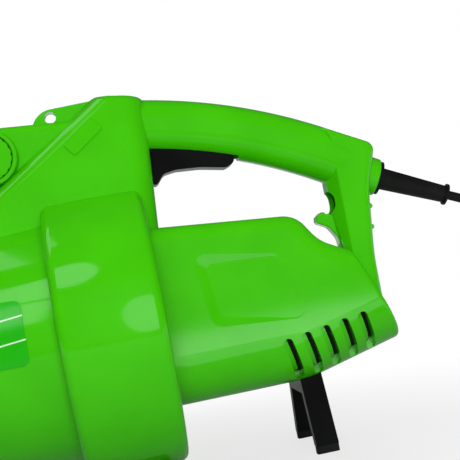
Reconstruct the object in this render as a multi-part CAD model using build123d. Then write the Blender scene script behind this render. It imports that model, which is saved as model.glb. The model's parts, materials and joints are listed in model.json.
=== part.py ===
"""Corded hand-held leaf blower, in millimetres.

Every piece is drawn in the motor's own frame: X runs along the motor axis towards the rear, Y to the
far side, Z up, with X = 0 near the belt's rear edge and Z = 0 on the axis.
At the end the pieces are moved so that the origin lies on the ground under the middle of the object.
"""

from build123d import *
import math
import os

# Walls, gaps and fits
WALL = 3.0
FIT_GAP = 0.1
PRESS_GAP = 0.02
MOVE_GAP = 0.4
RUNNING_GAP = 0.03
SEAM_WIDTH = 0.5
SEAM_DEPTH = 0.7

# Belt round the fan
BELT_FRONT_X = -61.0
BELT_REAR_X = 6.0
BELT_R = 98.0
BELT_CROWN_R = 250.0
BELT_THICK = 9.0
BELT_FLAT = 10.0
BELT_TOP_Z = BELT_R - BELT_FLAT
BELT_ROUND = 6.0
BELT_LIFT = 7.0
GROUND_DROP = BELT_R + BELT_LIFT

# Fan casing and outlet
CASING_R = BELT_R - BELT_THICK - FIT_GAP
DUCT_STEP = 3.9
DUCT_BACK_R = CASING_R - DUCT_STEP
DUCT_MID_X = -150.0
DUCT_TAPER = 6.0
DUCT_MID_R = DUCT_BACK_R - DUCT_TAPER
DUCT_BEND_R = 60.0
SOCKET_BACK_X = -205.0
SOCKET_FRONT_X = -237.0
SOCKET_R = 52.0
SOCKET_STEP = 2.7
PLATE_THICK = 4.0
EYE_R = 50.0

# Motor cover
COVER_TOP_Z = 61.0
COVER_LOW_Z = -57.7
COVER_HALF = 58.7
COVER_BEND_X = 95.0
COVER_BEND_R = 60.0
COVER_LOW_RISE = 0.24
COVER_SIDE_TAPER = 0.075
COVER_SHOULDER = (103.5, 52.4)
COVER_SHOULDER_R = 19.0
COVER_STEP = (116.5, 32.9)
COVER_STEP_R = 28.0
COVER_LEDGE_SLOPE = 0.53
COVER_END_X = 167.0
COVER_TOP_EDGE_R = 11.0
COVER_LOW_EDGE_R = 34.0
COVER_TAIL_TOP = (135.8, 23.5)
COVER_TAIL_LOW = (162.3, -38.5)
COVER_TAIL_R = 3.0
VENT_COUNT = 5
VENT_FIRST_X = 80.9
VENT_PITCH = 13.15
VENT_WIDTH = 6.6
VENT_ROUND = 2.8
VENT_GAP = 3.0
VENT_DROP = 6.0
VENT_LEDGE = 4.5
VENT_SKIN = 2.0
VENT_BACK = VENT_LEDGE + VENT_SKIN
VENT_TOP_Z = -26.8
VENT_RISE = 1.95
VENT_LIFT = 2.2
VENT_LEAN = 15.0
VENT_REACH = 24.0
FILTER_THICK = 2.5
FILTER_X = (74.0, 148.0)
FILTER_TOP_Z = -17.0
FILTER_IN_Y = 20.5
PANEL_DEPTH = 2.2
PANEL_SLOPE = 6.5
PANEL_ROUND = 4.0
PANEL_OUTLINE = ((31.0, 38.0), (86.0, 29.0), (100.0, -15.0), (37.0, -9.0))
PANEL_FADE_X = 92.0

# Neck, pod and lug
NECK_TOP_Z = 156.4
NECK_TOP_LEAN = 9.0
NECK_FOOT_Z = 50.0
NECK_TOP_HALF = 21.0
NECK_FOOT_HALF = 43.0
NECK_TOP_REAR_X = 21.5
NECK_FOOT_REAR_X = 13.0
NECK_TOP_FRONT_X = -14.0
NECK_FRONT_ANGLE = 34.5
NECK_CORNER_R = 16.0
NECK_TOP_R = 6.0
POD_HALF = 20.0
POD_OUTLINE = ((0.0, 66.0), (0.0, 143.0), (-50.0, 146.5), (-110.0, 151.0), (-142.0, 66.0))
POD_NOSE_R = 14.0
POD_EDGE_R = 6.0
LUG_EYE = (-44.5, 151.3)
LUG_EYE_R = 4.0
LUG_THICK = 10.6
LUG_OUTLINE = ((-63.5, 136.0), (-52.5, 157.0), (-12.5, 158.3), (-12.5, 136.0))
LUG_ROUND = 15.0
LUG_EDGE_R = 1.2
LUG_FOOT_X = (-56.0, -36.0)
LUG_FOOT_HALF = 8.5
LUG_FOOT_TOP_Z = 141.0

# Grip and rear post
GRIP_START = (5.0, 136.2)
GRIP_MID = (79.5, 118.8)
GRIP_END = (152.0, 84.6)
GRIP_HEIGHT = 37.0
GRIP_WIDTH = 35.0
GRIP_CORNER_R = 15.5
POST_OUTLINE = (
    (135.4, 87.5), (139.0, 111.0), (173.6, 92.8), (163.6, 62.0),
    (158.4, 16.0), (158.0, -42.0), (147.0, -42.0), (136.0, 48.0))
POST_BENDS = {2: 7.0, 3: 90.0, 4: 150.0, 7: 90.0}
POST_HALF = 17.0
POST_RIDGE_X = 143.0
POST_NOSE_X = 133.0
POST_NOSE_HALF = 3.5
POST_RIDGE_R = 1.5
POST_BACK_R = 5.0
HOOK_OUTLINE = (
    (147.0, 47.5), (137.5, 48.8), (128.6, 53.0), (124.3, 49.8), (124.0, 45.6),
    (132.0, 41.4), (136.5, 33.7), (138.5, 25.0), (147.0, 25.0))
HOOK_BENDS = {1: 12.0, 2: 2.6, 3: 1.9, 4: 1.9, 5: 8.0, 6: 10.0}
HOOK_EDGE_R = 1.2
HOOK_HALF = 6.5
CORD_SLOT_HALF = 11.0
CORD_SLOT_LOW_Z = 50.5
CORD_SLOT_TOP_Z = 66.0
CORD_SLOT_ROUND = 6.5
RIB_R = 1.8
RIBS = ((162.2, 50.5), (160.6, 36.0))

# Trigger and switch
TRIGGER_OUTLINE = (
    (16.6, 91.0), (20.5, 93.2), (25.0, 98.8), (34.0, 100.0), (51.0, 98.8), (68.5, 95.4), (74.2, 97.6),
    (75.8, 102.0), (76.0, 108.0), (64.0, 112.5), (32.0, 119.0), (29.6, 126.5), (18.4, 126.5), (17.8, 112.0))
TRIGGER_HALF = 9.5
TRIGGER_PIVOT = (24.0, 121.5)
TRIGGER_PIN_R = 2.0
TRIGGER_ROUND = 1.6
SLOT_FRONT_X = 17.2
SLOT_REAR_X = 78.4
SWITCH_X = 56.0
SWITCH_LENGTH = 26.0
SWITCH_LOW_Z = 122.0
SWITCH_HEIGHT = 11.5
SWITCH_HALF = 8.0
PLUNGER_R = 2.4
PLUNGER_LOW_Z = 114.8
PLUNGER_TOP_Z = 127.0

# Speed dial
DIAL_X = -88.5
DIAL_Z = 128.0
DIAL_R = 20.0
DIAL_TAPER = 1.2
DIAL_RIM = 2.8
DIAL_STAND = 7.0
DIAL_SINK = 1.0
DIAL_EDGE_R = 0.9
DIAL_SHAFT_R = 3.0
DIAL_FLUTES = 18
DIAL_POINTER = 2.4
POT_R = 8.0
POT_DEPTH = 9.0

# Motor
SHAFT_R = 4.0
SHAFT_FRONT_X = -57.0
SHAFT_REAR_X = 111.0
STATOR_R = 40.0
STATOR_BORE_R = 25.6
CORE_FRONT_X = 28.0
CORE_REAR_X = 70.0
ARMATURE_R = 25.0
COIL_LENGTH = 7.0
COMMUTATOR_R = 13.0
COMMUTATOR_FRONT_X = 79.0
COMMUTATOR_REAR_X = 91.0
BEARING_R = 11.0
BEARING_WIDTH = 7.0
FRONT_BEARING_X = 6.5
REAR_BEARING_X = 100.0
CRADLE_WALL = 2.4
CRADLE_RIM_R = 53.5
CRADLE_REAR_X = 78.0
BRACKET_X = 93.0
BRACKET_THICK = 5.0
BRUSH_HALF = 2.6
HOLDER_OUT_Z = 35.0
HOLDER_HALF = 4.4
EAR_LOW_Y = 42.6
EAR_HIGH_Y = 46.0
EAR_HALF_Z = 7.0
EAR_LENGTH = 20.0

# Impeller and straightener
IMPELLER_GAP = 7.9
IMPELLER_R = CASING_R - WALL - IMPELLER_GAP
IMPELLER_DISC_X = -46.0
IMPELLER_DISC_THICK = 3.0
IMPELLER_REAR_X = -12.0
HUB_R = 13.0
NUT_R = 7.0
NUT_THICK = 6.5
BLADE_COUNT = 9
BLADE_THICK = 2.4
BLADE_IN_R = 30.0
STRAIGHTENER_BACK_X = -68.0
STRAIGHTENER_NOSE_X = -165.0
STRAIGHTENER_R = 52.0
VANE_COUNT = 7
VANE_THICK = 2.4

# Blow tube and nozzle
TUBE_FRONT_X = -440.0
TUBE_FRONT_R = 41.0
TUBE_WALL = 2.4
TUBE_GAP = 0.3
TUBE_TAPER_END_X = -412.0
NOZZLE_LENGTH = 120.0
NOZZLE_LAP = 22.0
NOZZLE_MOUTH_HALF = 48.0
NOZZLE_MOUTH_RISE = 20.0

# Label and badge
LABEL_THICK = 0.6
LABEL_X = (-146.0, -80.0)
LABEL_Z = (-9.5, 31.0)
LABEL_ROUND = 5.0
BADGE_CENTRE = (-24.5, 131.0)
BADGE_LENGTH = 27.0
BADGE_WIDTH = 11.0
BADGE_THICK = 1.2
BADGE_ROUND = 1.2
BADGE_EDGE = 0.4
BADGE_TURN = 37.0

# Intake grille, stand and feet
GRILLE_X = (22.0, 74.0)
GRILLE_HALF = 28.0
GRILLE_ROUND = 6.0
GRILLE_SLOTS = 6
GRILLE_SLOT = 4.6
GRILLE_RIM = 4.0
STAND_X = (88.0, 103.0)
STAND_TOP_HALF = 27.0
STAND_FOOT_HALF = 45.0
STAND_BAR = 9.0
STAND_TOP_Z = -52.0
STAND_SCREW_Y = 17.0
FOOT_THICK = 5.0
FRONT_FOOT_X = (-50.0, -6.0)
FRONT_FOOT_HALF = 36.0
FRONT_FOOT_ROUND = 8.0

# Cord outlet, cord and plug
CORD_R = 3.25
CORD_ANGLE = 24.0
CORD_EXIT = (173.6, 69.8)
COLLAR_R = 14.5
COLLAR_TIP_R = 13.0
COLLAR_LENGTH = 20.0
FLANGE_R = 11.7
FLANGE_THICK = 2.2
SLEEVE_ROOT_R = 7.8
SLEEVE_TIP_R = 6.0
SLEEVE_LENGTH = 52.0
SLEEVE_RING_R = 7.6
SLEEVE_RING_THICK = 1.7
SLEEVE_TAIL = 21.0
CORD_INSIDE = 30.0
CORD_FREE = 74.0
CORD_RUN = (
    (264.0, -1.0, 113.0), (277.0, -4.0, 73.0), (281.0, -12.0, 39.0), (279.0, -30.0, 13.0),
    (272.0, -56.0, 3.5), (260.0, -82.0, 6.5), (249.0, -104.0, 17.5))
CORD_POINTS = tuple((x, y, height - GROUND_DROP) for x, y, height in CORD_RUN)
PLUG_LENGTH = 44.0
PLUG_R = 17.5
PLUG_END = (240.0, -122.0, PLUG_R - GROUND_DROP)
PLUG_NECK_R = 5.5
PIN_R = 2.4
PIN_LENGTH = 19.0
PIN_SPREAD = 9.3

# Leads inside the handle
LEAD_R = 1.2
LEAD_SPREAD = 2.2
LEAD_HOLE_X = 10.0
LEAD_HOLE_R = 4.5
SUPPLY_LEAD = ((146.0, 84.0), (138.0, 96.0), (122.0, 107.0), (104.0, 115.5), (87.0, 124.5), (71.5, 133.0))
MOTOR_LEAD = (
    (60.0, 136.5), (46.0, 139.5), (26.0, 138.0), (12.0, 127.0),
    (8.8, 106.0), (9.2, 82.0), (8.4, 62.0), (14.4, 46.5))

# Fasteners
SCREW_R = 1.9
SCREW_HEAD_R = 3.5
SCREW_HEAD = 2.4
SCREW_SEAT_Y = 11.0
SCREW_GRIP = 10.0
BOSS_R = 5.2
HANDLE_SCREWS = ((-4.0, 143.0), (-116.0, 112.0), (106.0, 103.0), (155.0, 16.0), (-30.0, 110.0))
COVER_SCREWS = ((30.0, 50.0), (92.0, 43.0), (127.0, 12.0))

FAR = 600.0


# Small helpers

def block(x, y, z):
    """A box from three (low, high) pairs."""
    middle = [(a + b) / 2 for a, b in (x, y, z)]
    return Pos(*middle) * Box(x[1] - x[0], y[1] - y[0], z[1] - z[0])


def rod_x(radius, x0, x1, y=0.0, z=0.0):
    """A cylinder along X."""
    return Pos((x0 + x1) / 2, y, z) * Rot(0, 90, 0) * Cylinder(radius, x1 - x0)


def rod_y(radius, y0, y1, x, z):
    """A cylinder along Y."""
    return Pos(x, (y0 + y1) / 2, z) * Rot(90, 0, 0) * Cylinder(radius, y1 - y0)


def rod_z(radius, z0, z1, x, y=0.0):
    """A cylinder along Z."""
    return Pos(x, y, (z0 + z1) / 2) * Cylinder(radius, z1 - z0)


def ring_x(outer, inner, x0, x1):
    """A tube along X on the motor axis."""
    return rod_x(outer, x0, x1) - rod_x(inner, x0 - 1, x1 + 1)


def inset_points(points, inset):
    """An outline's corners after each side has moved in by inset."""
    area = sum(a[0] * b[1] - b[0] * a[1] for a, b in zip(points, points[1:] + points[:1]))
    side = 1 if area > 0 else -1
    moved = []
    for before, here, after in zip(points[-1:] + points[:-1], points, points[1:] + points[:1]):
        lines = []
        for a, b in ((before, here), (here, after)):
            length = math.hypot(b[0] - a[0], b[1] - a[1])
            normal = (-side * (b[1] - a[1]) / length, side * (b[0] - a[0]) / length)
            lines.append((normal, normal[0] * a[0] + normal[1] * a[1] + inset))
        (n, c), (m, d) = lines
        det = n[0] * m[1] - n[1] * m[0]
        moved.append(((c * m[1] - d * n[1]) / det, (n[0] * d - m[0] * c) / det))
    return moved


def side_plate(points, half, rounds=None, inset=0.0):
    """A side outline in X and Z, as thick as twice half; rounds maps a corner's number to its radius."""
    corners = inset_points(list(points), inset)
    face = make_face(Polyline(*corners, close=True))
    for number, radius in (rounds or {}).items():
        x, z = corners[number]
        corner = min(face.vertices(), key=lambda v: math.hypot(v.X - x, v.Y - z))
        face = fillet(corner, radius)
    return extrude(Plane.XZ * face, half, both=True)


def spun(points, rounds=None):
    """A profile of X and radius, turned about the motor axis."""
    face = make_face(Polyline(*points, close=True))
    for number, radius in (rounds or {}).items():
        x, r = points[number]
        corner = min(face.vertices(), key=lambda v: math.hypot(v.X - x, v.Y - r))
        face = fillet(corner, radius)
    return revolve(Plane.XZ * face, Axis.X)


def near_half(shape):
    return shape & block((-FAR, FAR), (-FAR, 0), (-FAR, FAR))


def far_half(shape):
    return shape & block((-FAR, FAR), (0, FAR), (-FAR, FAR))


def edges_where(shape, test):
    return [edge for edge in shape.edges() if test(edge.bounding_box())]


# Fan casing, belt and back plate

PLATE_FRONT_X = BELT_REAR_X - PLATE_THICK


def duct_solid(inset):
    """The casing's cone and socket as one turned solid, moved in by inset."""
    line = [
        (BELT_FRONT_X + WALL, 0), (BELT_FRONT_X + WALL, DUCT_BACK_R - inset),
        (DUCT_MID_X, DUCT_MID_R - inset), (SOCKET_BACK_X, SOCKET_R + SOCKET_STEP - inset),
        (SOCKET_BACK_X, SOCKET_R - inset), (SOCKET_FRONT_X - inset, SOCKET_R - inset),
        (SOCKET_FRONT_X - inset, 0)]
    return spun(line, {2: DUCT_BEND_R})


def casing_solid():
    """Everything inside the casing's outer skin."""
    return duct_solid(0) + rod_x(CASING_R, BELT_FRONT_X, PLATE_FRONT_X)


def fan_casing():
    hollow = duct_solid(WALL) + rod_x(CASING_R - WALL, BELT_FRONT_X + WALL, PLATE_FRONT_X + 1)
    return casing_solid() - hollow


def casing_back_plate():
    plate = ring_x(CASING_R, EYE_R, PLATE_FRONT_X, BELT_REAR_X)
    lip_r = CASING_R - WALL - FIT_GAP
    return plate + ring_x(lip_r, lip_r - WALL, PLATE_FRONT_X - 6, PLATE_FRONT_X)


def belt_wheel(gap):
    """A turned solid out to the belt's crowned skin, with a gap all round."""
    middle = (BELT_FRONT_X + BELT_REAR_X) / 2
    half = (BELT_REAR_X - BELT_FRONT_X) / 2 + gap
    top_r = BELT_R + gap
    edge_r = top_r - BELT_CROWN_R + math.sqrt(BELT_CROWN_R ** 2 - half ** 2)
    front, rear = middle - half, middle + half
    crown = ThreePointArc((front, edge_r), (middle, top_r), (rear, edge_r))
    sides = Polyline((rear, edge_r), (rear, 0), (front, 0), (front, edge_r))
    return revolve(Plane.XZ * make_face(crown.edges() + sides.edges()), Axis.X)


def belt_space(gap):
    """The room that the rounded belt takes up, with a gap all round."""
    room = belt_wheel(gap) - block((-FAR, FAR), (-FAR, FAR), (BELT_TOP_Z + gap, FAR))
    return fillet(room.edges(), BELT_ROUND + gap)


def belt_cover():
    return belt_space(0) - rod_x(CASING_R + FIT_GAP, -FAR, FAR)


# Motor cover

def cover_low_z(x):
    """Height of the cover's underside, which rises behind its bend."""
    return COVER_LOW_Z + COVER_LOW_RISE * max(0.0, x - COVER_BEND_X)


def cover_body(inset):
    """The cover's outside moved in by inset, before its slanted tail is cut."""
    ledge_drop = COVER_LEDGE_SLOPE * (COVER_END_X - COVER_STEP[0])
    outline = [
        (BELT_REAR_X - inset, COVER_TOP_Z), COVER_SHOULDER, COVER_STEP,
        (COVER_END_X, COVER_STEP[1] - ledge_drop), (COVER_END_X, cover_low_z(COVER_END_X)),
        (COVER_BEND_X, COVER_LOW_Z), (BELT_REAR_X - inset, COVER_LOW_Z)]
    bends = {1: COVER_SHOULDER_R - inset, 2: COVER_STEP_R + inset, 5: COVER_BEND_R - inset}
    body = side_plate(outline, FAR, bends, inset)
    tail_half = COVER_HALF - COVER_SIDE_TAPER * COVER_END_X - inset
    plan = [
        (BELT_REAR_X, inset - COVER_HALF), (COVER_END_X, -tail_half), (COVER_END_X, tail_half),
        (BELT_REAR_X, COVER_HALF - inset)]
    body &= extrude(make_face(Polyline(*plan, close=True)), FAR, both=True)
    top = edges_where(body, lambda b: b.max.X - b.min.X > 2 and b.min.Z > -20 and b.min.Y * b.max.Y > 0)
    body = fillet(top, COVER_TOP_EDGE_R - inset)
    low = edges_where(body, lambda b: b.max.X - b.min.X > 2 and b.max.Z < -20 and b.min.Y * b.max.Y > 0)
    return fillet(low, COVER_LOW_EDGE_R - inset)


def cover_tail(inset):
    """Everything ahead of the cover's slanted tail."""
    (top_x, top_z), (low_x, low_z) = COVER_TAIL_TOP, COVER_TAIL_LOW
    slope = (low_x - top_x) / (top_z - low_z)
    back = inset * math.hypot(1, slope)
    high = (top_x - slope * (FAR / 4 - top_z) - back, FAR / 4)
    deep = (top_x + slope * (FAR / 4 + top_z) - back, -FAR / 4)
    return side_plate([(-FAR / 4, FAR / 4), high, deep, (-FAR / 4, -FAR / 4)], FAR)


def cover_outside(inset=0.0):
    return cover_body(inset) & cover_tail(inset)


def seam_groove(outside, core):
    """A fine groove where the two halves of a shell meet."""
    slab = block((-FAR, FAR), (-SEAM_WIDTH / 2, SEAM_WIDTH / 2), (-FAR, FAR))
    return (outside & slab) - core


def vents(side):
    """The row of slots along one lower corner of the cover, each a ledge with a gap behind and below."""
    core = cover_outside(VENT_LEDGE)
    slots = []
    for number in range(VENT_COUNT):
        x = VENT_FIRST_X + VENT_PITCH * number
        top = VENT_TOP_Z + VENT_RISE * number
        front, rear = x - VENT_WIDTH / 2, x + VENT_WIDTH / 2
        low = cover_low_z(x) + VENT_LIFT
        slot = block((front, rear), (VENT_REACH, FAR), (low, top))
        slot = fillet(slot.edges().filter_by(Axis.Y), VENT_ROUND)
        gap = slot - block((front, rear - VENT_GAP), (0, FAR), (low + VENT_DROP, FAR))
        lean = Pos(x, 0, top) * Rot(0, -VENT_LEAN, 0) * Pos(-x, 0, -top)
        for cut in (lean * slot - core, lean * gap):
            slots.append(cut if side > 0 else mirror(cut, Plane.XZ))
    return slots


def vent_filters():
    """Stiff fine-mesh dust screens that line the cover behind its two rows of slots."""
    lining = cover_outside(VENT_BACK) - cover_outside(VENT_BACK + FILTER_THICK)
    pad = lining & block(FILTER_X, (FILTER_IN_Y, FAR), (-FAR, FILTER_TOP_Z))
    return Compound(children=[pad, mirror(pad, Plane.XZ)])


def side_panel(side):
    """A shallow hollow with sloping walls in the cover's flank, deepest at its front edge."""
    lean = math.atan(COVER_SIDE_TAPER)
    layers = []
    for lift in (-1, 1):
        skin = Plane(
            origin=(0, COVER_HALF, 0), x_dir=(math.cos(lean), -math.sin(lean), 0),
            z_dir=(math.sin(lean), math.cos(lean), 0)).offset(lift * PANEL_DEPTH)
        corners = [(x, -z) for x, z in inset_points(list(PANEL_OUTLINE), -lift * PANEL_SLOPE)]
        face = make_face(Polyline(*corners, close=True))
        layers.append(skin * fillet(face.vertices(), PANEL_ROUND + (1 + lift) * PANEL_SLOPE / 2))
    tool = loft(layers, ruled=True)
    front_x = PANEL_OUTLINE[0][0]
    deep_y = COVER_HALF - COVER_SIDE_TAPER * front_x - PANEL_DEPTH
    fade_y = COVER_HALF - COVER_SIDE_TAPER * PANEL_FADE_X
    slope = (fade_y - deep_y) / (PANEL_FADE_X - front_x)
    end_y = deep_y + slope * (FAR / 4 - front_x)
    floor = [(0, deep_y - slope * front_x), (FAR / 4, end_y), (FAR / 4, FAR), (0, FAR)]
    tool &= extrude(make_face(Polyline(*floor, close=True)), FAR, both=True)
    return tool if side > 0 else mirror(tool, Plane.XZ)


def grille_window():
    wide = GRILLE_X[1] - GRILLE_X[0]
    face = Pos(sum(GRILLE_X) / 2, 0, 0) * RectangleRounded(wide, 2 * GRILLE_HALF, GRILLE_ROUND)
    return extrude(face, -FAR)


def screw_bosses(outside, places):
    """Pillars for the screws, from one skin of a shell to the other."""
    pillars = [rod_y(BOSS_R, -FAR / 4, FAR / 4, x, z) for x, z in places]
    return [pillar & outside for pillar in pillars]


def screw_holes(places):
    """Pilot hole in the near half, clearance and head room in the far half."""
    holes = []
    for x, z in places:
        holes.append(rod_y(SCREW_R + PRESS_GAP, -SCREW_GRIP - 1, 0, x, z))
        holes.append(rod_y(SCREW_R + FIT_GAP, 0, SCREW_SEAT_Y, x, z))
        holes.append(rod_y(SCREW_HEAD_R + FIT_GAP, SCREW_SEAT_Y, FAR / 4, x, z))
    return holes


def screw(length):
    """A cross-head screw along -Z with its head's seat at the origin."""
    body = rod_z(SCREW_R, -length, 0, 0) + rod_z(SCREW_HEAD_R, 0, SCREW_HEAD, 0)
    body = fillet(body.edges().group_by(Axis.Z)[-1], 0.8)
    for turn in (0, 90):
        body -= Rot(0, 0, turn) * block((-2.0, 2.0), (-0.4, 0.4), (SCREW_HEAD - 1.3, SCREW_HEAD + 1))
    return body


def side_screws(places):
    """Screws driven from the far side, as one group."""
    one = screw(SCREW_SEAT_Y + SCREW_GRIP)
    return [Pos(x, SCREW_SEAT_Y, z) * Rot(-90, 0, 0) * one for x, z in places]


def motor_cover():
    """Both halves of the motor cover."""
    outside = cover_outside()
    rim = edges_where(outside, lambda b: b.min.X > COVER_TAIL_TOP[0] - 3 and b.max.X < COVER_END_X)
    outside = fillet(rim, COVER_TAIL_R)
    bosses = screw_bosses(outside, COVER_SCREWS)
    shell = outside - cover_outside(WALL)
    for boss in bosses:
        shell += boss
    shell += (cover_outside(WALL) - cover_outside(WALL + PANEL_DEPTH)) & side_plate(PANEL_OUTLINE, FAR)
    backing = cover_outside(WALL) - cover_outside(VENT_BACK)
    for span in ((-FAR, -FILTER_IN_Y), (FILTER_IN_Y, FAR)):
        shell += backing & block(FILTER_X, span, (-FAR, FILTER_TOP_Z))
    for cut in vents(1) + vents(-1) + [side_panel(1), side_panel(-1), grille_window()]:
        shell -= cut
    for cut in screw_holes(COVER_SCREWS) + stand_holes() + [rod_z(LEAD_HOLE_R, 20, FAR, LEAD_HOLE_X)]:
        shell -= cut
    shell -= seam_groove(outside, cover_outside(SEAM_DEPTH))
    return near_half(shell), far_half(shell)


# Handle: neck, control pod, lug, grip, post

def neck_solid(inset):
    front_run = (NECK_TOP_Z - NECK_FOOT_Z) / math.tan(math.radians(NECK_FRONT_ANGLE))
    foot = (NECK_TOP_FRONT_X - front_run + 1.6 * inset, NECK_FOOT_REAR_X - inset)
    top = (NECK_TOP_FRONT_X + 1.6 * inset, NECK_TOP_REAR_X - inset)
    radius = NECK_CORNER_R - inset
    sole = RectangleRounded(foot[1] - foot[0], 2 * (NECK_FOOT_HALF - inset), radius)
    low = Pos(sum(foot) / 2, 0, NECK_FOOT_Z) * sole
    lean = math.radians(NECK_TOP_LEAN)
    roof = Plane(
        origin=(sum(top) / 2, 0, NECK_TOP_Z - inset), x_dir=(math.cos(lean), 0, -math.sin(lean)),
        z_dir=(math.sin(lean), 0, math.cos(lean)))
    neck = loft([low, roof * RectangleRounded(top[1] - top[0], 2 * (NECK_TOP_HALF - inset), radius)])
    if inset:
        return neck
    rim = edges_where(neck, lambda b: b.min.Z > NECK_TOP_Z - 12)
    return fillet(rim, NECK_TOP_R)


def pod_solid(inset):
    pod = side_plate(POD_OUTLINE, POD_HALF - inset, {3: POD_NOSE_R - inset, 2: 60.0}, inset)
    rims = edges_where(pod, lambda b: b.max.Y - b.min.Y < 0.1 and b.max.X < -1
                       and b.max.Z > POD_OUTLINE[0][1] + 1)
    return fillet(rims, POD_EDGE_R - inset / 2)


def lug_solid(gap):
    """The strap lug's plate without its eye, with a gap all round."""
    lug = side_plate(LUG_OUTLINE, LUG_THICK / 2 + gap, {1: LUG_ROUND + gap}, -gap)
    rims = edges_where(lug, lambda b: b.max.Y - b.min.Y < 0.1 and b.max.Z > LUG_OUTLINE[1][1] - 18
                       and b.min.Z > LUG_OUTLINE[0][1] + 4)
    return fillet(rims, LUG_EDGE_R)


def strap_lug():
    """Plate with the strap's eye, held between the handle's halves by a wider foot inside them."""
    foot = block(LUG_FOOT_X, (-LUG_FOOT_HALF, LUG_FOOT_HALF), (LUG_OUTLINE[0][1], LUG_FOOT_TOP_Z))
    return lug_solid(0) + foot - rod_y(LUG_EYE_R, -FAR, FAR, *LUG_EYE)


def grip_solid(inset):
    path = Plane.XZ * ThreePointArc(GRIP_START, GRIP_MID, GRIP_END)
    start = Plane(origin=path @ 0, x_dir=(0, 1, 0), z_dir=path % 0)
    oval = start * RectangleRounded(GRIP_WIDTH - 2 * inset, GRIP_HEIGHT - 2 * inset, GRIP_CORNER_R - inset)
    return sweep(oval, path)


def post_solid(inset):
    post = side_plate(POST_OUTLINE, FAR, POST_BENDS, inset)
    reach = POST_RIDGE_X + 60
    half = POST_HALF - inset
    plan = [
        (POST_NOSE_X + inset, -POST_NOSE_HALF), (POST_RIDGE_X + inset / 2, -half),
        (reach, -half), (reach, half),
        (POST_RIDGE_X + inset / 2, half), (POST_NOSE_X + inset, POST_NOSE_HALF)]
    post &= extrude(make_face(Polyline(*plan, close=True)), FAR, both=True)
    if inset:
        return post
    back = edges_where(post, lambda b: b.max.Y - b.min.Y < 0.1 and abs(b.max.Y) > half - 0.1
                       and b.min.X > 140 and b.max.X > 150 and b.max.Z > -41)
    post = fillet(back, POST_BACK_R)
    ridge = edges_where(post, lambda b: b.max.Y - b.min.Y < 0.1 and abs(b.max.Y) > half - 0.1
                        and b.max.X - b.min.X < 0.1 and b.min.X < POST_RIDGE_X + 1)
    return fillet(ridge, POST_RIDGE_R)


def hook_solid():
    hook = side_plate(HOOK_OUTLINE, HOOK_HALF, HOOK_BENDS)
    rims = edges_where(hook, lambda b: b.max.Y - b.min.Y < 0.1 and b.max.X < HOOK_OUTLINE[0][0] - 0.5)
    return fillet(rims, HOOK_EDGE_R)


def along_cord(shape):
    """Move a shape drawn along +Z from the origin on to the cord's axis at its outlet."""
    return Pos(CORD_EXIT[0], 0, CORD_EXIT[1]) * Rot(0, 90 + CORD_ANGLE, 0) * shape


def collar_solid():
    collar = Pos(0, 0, -COLLAR_LENGTH / 2) * Cone(COLLAR_R, COLLAR_TIP_R, COLLAR_LENGTH)
    collar = fillet(collar.edges().group_by(Axis.Z)[-1], 1.5)
    return along_cord(collar)


def handle_core(inset):
    """Neck, pod, grip and post moved in by inset."""
    core = neck_solid(inset) + pod_solid(inset)
    core += grip_solid(inset)
    return core + post_solid(inset)


def handle_fittings():
    """Hook, cord collar and the two small ribs on the post."""
    parts = [hook_solid(), collar_solid()]
    for x, z in RIBS:
        parts.append(rod_y(RIB_R, POST_BACK_R - POST_HALF, POST_HALF - POST_BACK_R, x, z))
    return parts


def dial_well_r():
    """Inside radius of the ring round the dial."""
    return DIAL_R - DIAL_TAPER - DIAL_RIM


def dial_collar():
    """Raised ring on the pod's near side, round the dial."""
    front, back = -POD_HALF - DIAL_STAND, -POD_HALF + WALL
    ring = Cone(DIAL_R, DIAL_R - DIAL_TAPER, back - front)
    ring = Pos(DIAL_X, (front + back) / 2, DIAL_Z) * Rot(90, 0, 0) * ring
    ring -= rod_y(dial_well_r(), -FAR, -POD_HALF, DIAL_X, DIAL_Z)
    rims = edges_where(ring, lambda b: b.max.Y < front + FIT_GAP)
    return fillet(rims, DIAL_EDGE_R)


def switch_ribs():
    """Ribs in both halves of the grip that hold the switch by its flanks."""
    low = SWITCH_LOW_Z + 2
    ribs = []
    for x in (SWITCH_X - 9, SWITCH_X + 6):
        rib = block((x, x + 3), (-GRIP_WIDTH / 2 + 1, GRIP_WIDTH / 2 - 1), (low, low + 8))
        ribs.append(rib - block((-FAR, FAR), (-SWITCH_HALF, SWITCH_HALF), (-FAR, FAR)))
    return ribs


def clamp_seat():
    """Pad inside the post that the cord is clamped against."""
    seat = block((-7.0, -0.6), (-POST_HALF + 1, POST_HALF - 1), (-30.0, -23.0))
    seat -= rod_z(CORD_R + PRESS_GAP, -FAR, FAR, 0)
    for y in (-7.5, 7.5):
        seat -= Pos(0, y, -26.5) * Rot(0, 90, 0) * Cylinder(SCREW_R + PRESS_GAP, 60)
    return along_cord(seat)


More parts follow.
